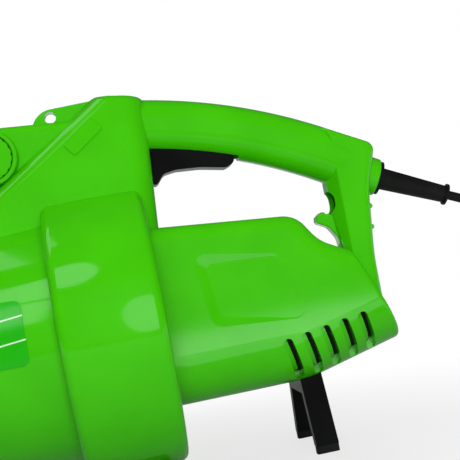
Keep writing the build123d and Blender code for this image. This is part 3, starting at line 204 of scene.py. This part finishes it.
# %% The start of every finish
class Finish:
    """A material with a Principled shader, and the place on the piece as x, y and z in metres."""

    def __init__(self, name, rough=0.4, metal=0.0, ior=1.45):
        self.material = bpy.data.materials.new(name)
        self.material.use_nodes = True
        self.tree = self.material.node_tree
        self.tree.nodes.clear()
        self.shader = self.tree.nodes.new("ShaderNodeBsdfPrincipled")
        self.end = self.tree.nodes.new("ShaderNodeOutputMaterial")
        self.tree.links.new(self.shader.outputs["BSDF"], self.end.inputs["Surface"])
        self.place = add_node(self.tree, "ShaderNodeTexCoord", out=3)
        split = self.place.make("ShaderNodeSeparateXYZ", Vector=self.place)
        self.x, self.y, self.z = (Flow(self.tree, socket) for socket in split.socket.node.outputs)
        for socket, value in (("Roughness", rough), ("Metallic", metal), ("IOR", ior)):
            self.shader.inputs[socket].default_value = value

    def noise(self, scale, detail=2.0):
        """Soft random clouds, about scale of them in a metre."""
        return self.place.make("ShaderNodeTexNoise", Vector=self.place, Scale=scale, Detail=detail)

    def streaks(self, along, across):
        """Clouds drawn out along X: along of them in a metre of length, across in a metre of height."""
        stretched = self.place.make("ShaderNodeMapping", Vector=self.place, Scale=(along, across, across))
        return self.place.make("ShaderNodeTexNoise", Vector=stretched, Scale=1.0, Detail=2.0)

    def paint(self, socket, value):
        feed(self.tree, self.shader.inputs[socket], value)

    def relief(self, height, strength, distance=0.0002):
        """Fine relief: a height from 0 to 1 that stands distance metres proud."""
        bump = self.place.make("ShaderNodeBump", Height=height, Strength=strength, Distance=distance)
        self.paint("Normal", bump)


print("a finish starts from x, y and z on the piece")

# %% [markdown]
# ## The green shell
# Injection-moulded plastic with a high gloss is never quite flat: the cooling skin draws into
# very shallow waves a few millimetres long, called orange peel. Waves in the normal make the
# edges of a reflection tremble a little. Handling leaves faint long rubs that dull the gloss,
# and the pigment is a touch uneven.

# %% Gloss green
PEEL_PER_METRE = 170.0
GREEN_DEEP = (0.050, 0.515, 0.0016)
GREEN_LIGHT = (0.056, 0.555, 0.0024)

shell_green = Finish("gloss_green_shell", rough=0.09, ior=1.37)
shell_green.paint("Base Color", shell_green.noise(26.0).between(0.3, 0.7).tint(GREEN_DEEP, GREEN_LIGHT))
rubs = shell_green.streaks(35.0, 420.0).between(0.56, 0.8)
shell_green.paint("Roughness", shell_green.noise(900.0) * 0.03 + rubs * 0.06 + 0.07)
shell_green.relief(shell_green.noise(PEEL_PER_METRE, 1.0), 0.016)
print("green shell:", GREEN_DEEP, GREEN_LIGHT)

# %% [markdown]
# ## The label
# A printed film lies on the duct, in a bluer green, with two thin pale rules across it. The film
# carries no words here. Each rule is a narrow band round a line that climbs a little towards the
# rear, and the film's fine fibres show as a grain in the gloss.

# %% Label film
RULE_HEIGHTS = (20.6, 5.8)
RULE_PLACE = -86.0
RULE_CLIMB = 0.10
RULE_HALF = 0.45
LABEL_DEEP = (0.010, 0.440, 0.0014)
LABEL_LIGHT = (0.013, 0.475, 0.0020)
RULE_PALE = (0.66, 0.86, 0.62)

label_film = Finish("label_film", rough=0.16, ior=1.4)
climb = (label_film.x - at(RULE_PLACE, 0, 0).x) * RULE_CLIMB
rules = None
for height in RULE_HEIGHTS:
    off = (label_film.z - climb - (AXIS_HEIGHT + height) * MM).math("ABSOLUTE")
    line_mask = 1.0 - off.between((RULE_HALF - 0.1) * MM, (RULE_HALF + 0.1) * MM)
    rules = line_mask if rules is None else rules.either(line_mask)
film = label_film.noise(60.0).between(0.3, 0.7).tint(LABEL_DEEP, LABEL_LIGHT)
label_film.paint("Base Color", rules.tint(film, RULE_PALE))
label_film.paint("Roughness", label_film.noise(1600.0) * 0.08 + 0.12)
label_film.relief(label_film.noise(1200.0), 0.03)
print("label rules at", RULE_HEIGHTS, "mm above the axis")


# %% [markdown]
# ## Satin plastics and rubber
# The trigger, the stand and the tube come from spark-eroded moulds, which print a fine even
# grain of about half a millimetre. Rubber is duller and a little dusty. One function makes all
# of them: cloudy colour, uneven gloss and a grain.

# %% Grained stock
def grained(name, dark, light, rough, spread, grain, strength, metal=0.0, ior=1.45):
    """Cloudy colour between dark and light, gloss that varies by spread, grain bumps in a metre."""
    finish = Finish(name, rough, metal, ior)
    fine = finish.noise(grain, 3.0)
    finish.paint("Base Color", finish.noise(34.0).between(0.3, 0.7).tint(dark, light))
    finish.paint("Roughness", (fine - 0.5) * spread + rough)
    finish.relief(fine, strength)
    return finish


black_grip = grained(
    "satin_black_controls", (0.0035,) * 3, (0.0055, 0.0055, 0.006), 0.33, 0.14, 1900.0, 0.14, ior=1.25)
tube_black = grained("drawn_tube", (0.008, 0.008, 0.009), (0.013, 0.013, 0.014), 0.30, 0.10, 900.0, 0.08)
rubber = grained("soft_rubber", (0.0065,) * 3, (0.0105, 0.0105, 0.0105), 0.46, 0.16, 1400.0, 0.2, ior=1.28)
carbon = grained("pressed_carbon", (0.02,) * 3, (0.04,) * 3, 0.6, 0.1, 1500.0, 0.3)
nylon = grained("white_nylon", (0.72, 0.72, 0.70), (0.80, 0.80, 0.78), 0.4, 0.1, 900.0, 0.1)
board = grained("circuit_board", (0.02, 0.13, 0.05), (0.03, 0.18, 0.07), 0.35, 0.1, 600.0, 0.1)
sheath = grained("lead_sheath", (0.03, 0.06, 0.26), (0.05, 0.08, 0.32), 0.4, 0.1, 900.0, 0.1)
nickel = grained("nickel_pins", (0.60, 0.58, 0.54), (0.70, 0.68, 0.63), 0.22, 0.08, 700.0, 0.04, metal=1.0)
zinc = grained("plated_screws", (0.50, 0.51, 0.53), (0.60, 0.61, 0.63), 0.28, 0.12, 800.0, 0.05, metal=1.0)
print("grained stock: 9 finishes")

# %% [markdown]
# ## Inside the motor
# The cores are stacks of thin steel sheets, so they show fine rings along the axis; the windings
# are rows of lacquered wire. Both are stripes along X, one pitch wide, in colour and in relief.


# %% Striped metals
def striped(name, dark, light, pitch, rough, strength):
    """Metal whose colour and relief go up and down once in each pitch along the motor axis."""
    finish = Finish(name, rough, 1.0)
    stripe = finish.x.waves(pitch)
    finish.paint("Base Color", (stripe * 0.7 + finish.noise(300.0) * 0.3).tint(dark, light))
    finish.paint("Roughness", finish.noise(700.0) * 0.2 + (rough - 0.1))
    finish.relief(stripe, strength)
    return finish


sheet_steel = striped("stacked_sheet_steel", (0.30, 0.30, 0.31), (0.52, 0.53, 0.55), 0.001, 0.38, 0.5)
copper_wire = striped("lacquered_wire", (0.42, 0.15, 0.05), (0.78, 0.38, 0.17), 0.0008, 0.32, 0.7)
print("striped metals: stacked steel and copper wire")

# %% [markdown]
# ## The dust screens behind the slots
# A stiff woven mesh lies behind the cooling slots. Its threads cross every 1.4 mm; where both
# waves are low there is a hole, painted black as painted shade for the dark inside seen through it.

# %% Woven mesh
THREAD_PITCH = 0.0014
mesh_screen = Finish("woven_dust_screen", rough=0.6, ior=1.4)
threads = mesh_screen.x.waves(THREAD_PITCH).either(mesh_screen.z.waves(THREAD_PITCH)).between(0.55, 0.85)
# Painted shade: the holes between the threads are painted near-black for the dark behind them.
mesh_screen.paint("Base Color", threads.tint((0.0015, 0.0015, 0.0015), (0.010, 0.010, 0.010)))
mesh_screen.relief(threads, 0.8)
print("mesh pitch:", THREAD_PITCH)

# %% [markdown]
# ## Which piece has which finish
# The record names a material slot for each solid. Most slots have one finish; a few pieces that
# share a slot are made differently, so they are named one by one.

# %% Finishes on the pieces
SLOT_FINISH = {
    "green": shell_green, "label": label_film, "black": black_grip, "tube": tube_black, "rubber": rubber,
    "steel": zinc, "copper": copper_wire, "carbon": carbon, "white": nylon, "board": board, "leads": sheath,
    "pins": nickel}
PIECE_FINISH = {"field_core": sheet_steel, "armature_core": sheet_steel, "vent_filters": mesh_screen}
for row in frame["record"]["subparts"]:
    chosen = PIECE_FINISH.get(row["node"], SLOT_FINISH[row["material_slot"]])
    for slot in nodes[row["node"]].material_slots:
        slot.material = chosen.material

# %% [markdown]
# ## The supply lead
# A short rubber lead leaves the strain relief, droops under its own weight and lies on the floor
# up to its plug. A NURBS line through the same points as the CAD tube gives the smooth bend of
# rubber; three points in line keep it straight inside the sleeve.

# %% Lead
OUTLET = (173.6, 69.8)
OUTLET_SLOPE = math.radians(24.0)
LEAD_RADIUS = 3.25
SLEEVE_RUN = (-30.0, 48.0, 74.0)
LEAD_POINTS = [
    (264.0, -1.0, 8.0), (277.0, -4.0, -32.0), (281.0, -12.0, -66.0), (279.0, -30.0, -92.0),
    (272.0, -56.0, -101.5), (260.0, -82.0, -98.5), (249.0, -104.0, -87.5), (240.0, -122.0, -87.5)]

ahead, down = math.cos(OUTLET_SLOPE), math.sin(OUTLET_SLOPE)
sleeve_points = [(OUTLET[0] + run * ahead, 0.0, OUTLET[1] - run * down) for run in SLEEVE_RUN]
route = [at(*point) for point in sleeve_points + LEAD_POINTS]
line = bpy.data.curves.new("supply_lead", "CURVE")
line.dimensions = "3D"
line.bevel_depth = LEAD_RADIUS * MM
line.bevel_resolution = 6
line.resolution_u = 12
line.use_fill_caps = True
spline = line.splines.new("NURBS")
spline.points.add(len(route) - 1)
for point, spot in zip(spline.points, route):
    point.co = (*spot, 1.0)
spline.order_u = 3
spline.use_endpoint_u = True
lead = bpy.data.objects.new("supply_lead", line)
bpy.context.scene.collection.objects.link(lead)
line.materials.append(rubber.material)
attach(lead, "housing")
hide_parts("power_cord")

# %% [markdown]
# ## The floor
# A wide sheet of pale paper takes the shadow. For the camera it fades into plain white a little
# way from the machine, so that the horizon doesn't show; shiny surfaces see the same white
# farther out.

# %% Floor
FLOOR_HALF = 12.0
FLOOR_FRONT = 0.70
STEPS = 9
u, v = np.meshgrid(np.linspace(-1.0, 1.0, STEPS), np.linspace(0.0, 2.0, STEPS))
spots = np.stack([FLOOR_HALF * u, FLOOR_HALF * v - FLOOR_FRONT, np.zeros_like(u)], axis=-1).reshape(-1, 3)
corner = (np.arange(STEPS - 1)[:, None] * STEPS + np.arange(STEPS - 1)[None, :]).reshape(-1)
quads = np.stack([corner, corner + 1, corner + STEPS + 1, corner + STEPS], axis=-1)
floor_mesh = bpy.data.meshes.new("studio_floor")
floor_mesh.from_pydata(spots.tolist(), [], quads.tolist())
floor = bpy.data.objects.new("studio_floor", floor_mesh)
bpy.context.scene.collection.objects.link(floor)

PAPER_NEAR = 0.72
CAMERA_FADE = (0.2, 0.6)
GLOSS_FADE = (0.5, 1.3)
paper = Finish("floor_paper", rough=0.9)
paper.paint("Base Color", paper.noise(3.0).tint((0.50, 0.50, 0.50), (0.54, 0.54, 0.54)))
away = paper.place.make("ShaderNodeVectorMath", {"operation": "LENGTH"}, 1, n0=paper.place)
rays = add_node(paper.tree, "ShaderNodeLightPath").socket.node.outputs
to_camera = Flow(paper.tree, rays["Is Camera Ray"])
to_gloss = Flow(paper.tree, rays["Is Glossy Ray"]).either(Flow(paper.tree, rays["Is Transmission Ray"]))
camera_white = away.between(*CAMERA_FADE) * (1.0 - PAPER_NEAR) + PAPER_NEAR
whiteness = (to_camera * camera_white).either(to_gloss * away.between(*GLOSS_FADE))
plain_white = paper.tree.nodes.new("ShaderNodeEmission")
paper_mix = paper.tree.nodes.new("ShaderNodeMixShader")
feed(paper.tree, paper_mix.inputs[0], whiteness)
paper.tree.links.new(paper.shader.outputs[0], paper_mix.inputs[1])
paper.tree.links.new(plain_white.outputs[0], paper_mix.inputs[2])
paper.tree.links.new(paper_mix.outputs[0], paper.end.inputs[0])
floor_mesh.materials.append(paper.material)
print("floor:", len(quads), "squares")

# %% [markdown]
# ## The room
# The camera sees white past the machine. Shiny surfaces see a softer white behind the machine,
# and a dim room on the camera's side, which is what keeps the green deep. Everything else gets
# an even soft light from all round.

# %% World
AMBIENT = 0.36
ROOM = 0.05
BACKDROP = 0.40
BEHIND_FADE = (0.85, 1.0)

world = bpy.data.worlds.new("studio")
bpy.context.scene.world = world
world.use_nodes = True
sky = world.node_tree
sky.nodes.clear()
sky_rays = add_node(sky, "ShaderNodeLightPath").socket.node.outputs
seen_by_eye = Flow(sky, sky_rays["Is Camera Ray"])
seen_in_gloss = Flow(sky, sky_rays["Is Glossy Ray"]).either(Flow(sky, sky_rays["Is Transmission Ray"]))
direction = add_node(sky, "ShaderNodeTexCoord")
behind = add_node(sky, "ShaderNodeSeparateXYZ", {}, 1, Vector=direction)
room = behind.between(*BEHIND_FADE) * (BACKDROP - ROOM) + ROOM
level = seen_in_gloss * room + (1.0 - seen_in_gloss) * AMBIENT
air = add_node(sky, "ShaderNodeBackground", Strength=(1.0 - seen_by_eye) * level + seen_by_eye)
air.socket.node.inputs["Color"].default_value = (1.0, 1.0, 1.0, 1.0)
sky_end = sky.nodes.new("ShaderNodeOutputWorld")
sky.links.new(air.socket, sky_end.inputs[0])
print("world: ambient", AMBIENT, "room", ROOM)

# %% [markdown]
# ## Soft boxes
# Each bright patch on the shell is the mirror image of one box. Where the box has to stand
# follows from the mirror rule: the ray from the camera to the patch, turned about the surface's
# normal there. Such a box shows as a gleam on a few pieces only. One plain box lights from above
# and two large ones, hidden from reflections, fill in from the front and from behind. A box's
# brightness is its watts over four times its area.


# %% Lamps
def soft_box(name, spot, toward, size, glow, shape="RECTANGLE"):
    """An area lamp at spot that faces toward; glow is how bright its face is, with 1 as white paper."""
    lamp = bpy.data.lights.new(name, "AREA")
    lamp.shape = shape
    lamp.size, lamp.size_y = size
    share = math.pi / 4.0 if shape == "ELLIPSE" else 1.0
    lamp.energy = 4.0 * size[0] * size[1] * share * glow
    holder = bpy.data.objects.new(name, lamp)
    facing = (toward - spot).to_track_quat("-Z", "Y").to_matrix().to_4x4()
    holder.matrix_world = Matrix.Translation(spot) @ facing
    bpy.context.scene.collection.objects.link(holder)
    print(name, round(lamp.energy, 2), "W")
    return holder


def only_on(holder, *names):
    """Let a box show as a gleam on these pieces and nowhere else, as a flag beside it would."""
    holder.visible_diffuse = False
    group = bpy.data.collections.new(holder.name + "_pieces")
    for name in names:
        group.objects.link(nodes[name])
    holder.light_linking.receiver_collection = group


# Each row: name, place, what it is aimed at, size in metres, glow, shape, pieces that show it.
GLEAMS = [
    ("belt_upper_box", (-235, -721, 799), (-42, -88, 40), (0.34, 0.34), 2.6, "ELLIPSE",
     ("belt_cover", "fan_casing")),
    ("ridge_card", (-235, -721, 799), (-60, -36, 100), (0.24, 0.24), 1.1, "ELLIPSE",
     ("handle_left", "strap_lug")),
    ("belt_lower_card", (222, -1273, 188), (-6, -97, 14), (0.36, 0.62), 2.0, "ELLIPSE",
     ("belt_cover",)),
    ("duct_card", (-348, -911, 511), (-78, -81, 21), (0.18, 0.33), 2.6, "RECTANGLE",
     ("fan_casing", "label_plate")),
    ("floor_card", (190, -400, -98), (190, -400, 100), (0.30, 0.45), 1.2, "RECTANGLE",
     ("motor_cover_left",)),
    ("table_card", (365, -1000, -150), (365, 0, -150), (0.36, 0.20), 3.0, "RECTANGLE",
     ("motor_cover_left",)),
]
for name, spot, aim, size, glow, shape, pieces in GLEAMS:
    only_on(soft_box(name, at(*spot), at(*aim), size, glow, shape), *pieces)

soft_box("key_box", at(-500, -20, 1000), at(0, 0, 60), (0.5, 0.5), 1.6)

FILL_AWAY = 1600
FILL_SIZE = (1.2, 1.2)
for name, side, glow in (("front_fill", -1, 3.6), ("back_fill", 1, 3.0)):
    fill = soft_box(name, at(150, side * FILL_AWAY, 420), at(40, 0, 30), FILL_SIZE, glow)
    fill.visible_glossy = False

# %% [markdown]
# ## Look settings and the close
# The view transform stays Standard, so that a colour shows about as it is written.

# %% Close
bpy.context.scene.view_settings.view_transform = "Standard"
